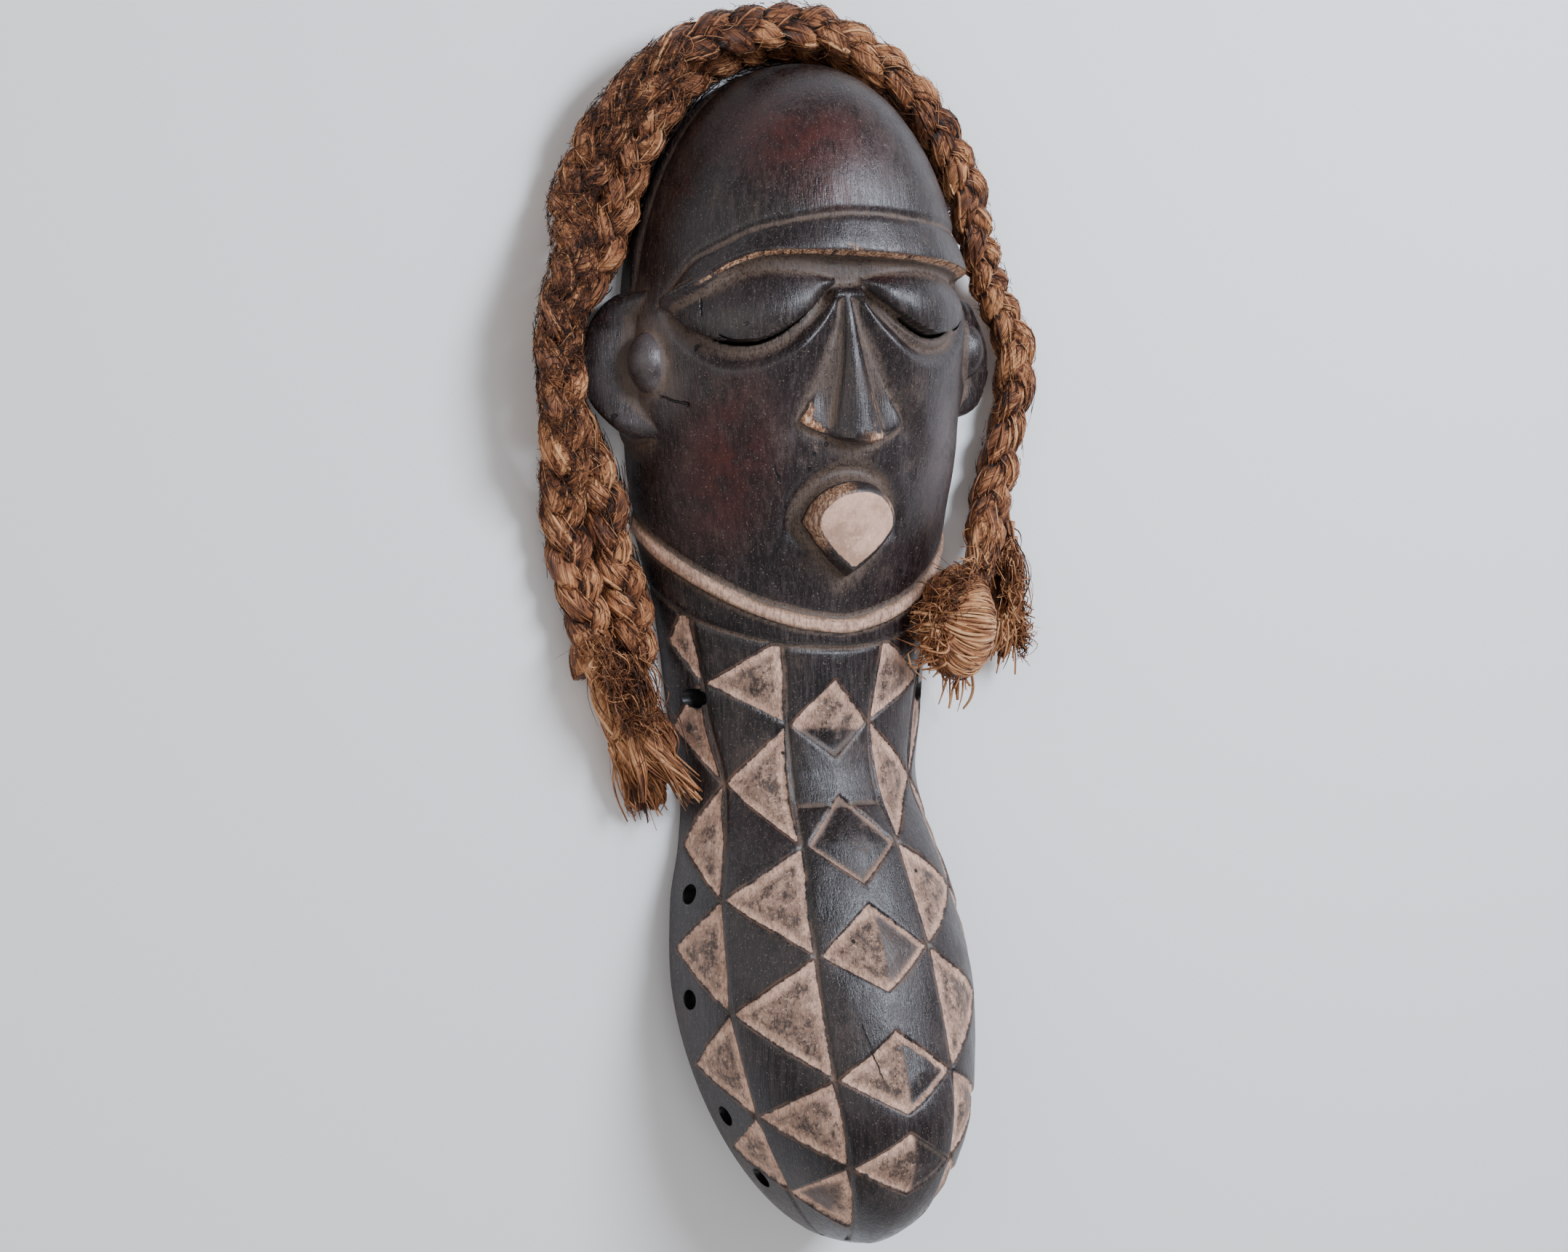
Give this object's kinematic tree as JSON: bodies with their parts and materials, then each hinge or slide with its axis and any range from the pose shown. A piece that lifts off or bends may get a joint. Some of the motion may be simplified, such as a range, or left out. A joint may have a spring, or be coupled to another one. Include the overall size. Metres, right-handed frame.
{
  "type": "bearded face mask",
  "caption": "Carved wooden face mask with a long hull-shaped beard, hollow behind, trimmed around the head with plaited raffia.",
  "frame": {"origin": "on the floor plane below the middle of the wood's length and width, without the raffia", "axes": "the mask lies face up: +Z out of the face, +Y toward the crown of the head, +X toward the viewer's right"},
  "size_m": [0.2948, 0.6237, 0.1179],
  "materials": {
    "carved_wood": "dark handled patina, semi-matte, with worn brown edges and pinkish white pigment in the carved triangles",
    "raffia": "dry plaited fibre, golden to dark brown"
  },
  "bodies": {
    "root": {"mask": "carved_wood", "inner_plait": "raffia", "outer_plait": "raffia", "left_bunch": "raffia", "right_bunch": "raffia", "right_rear_bunch": "raffia"}
  },
  "joints": []
}
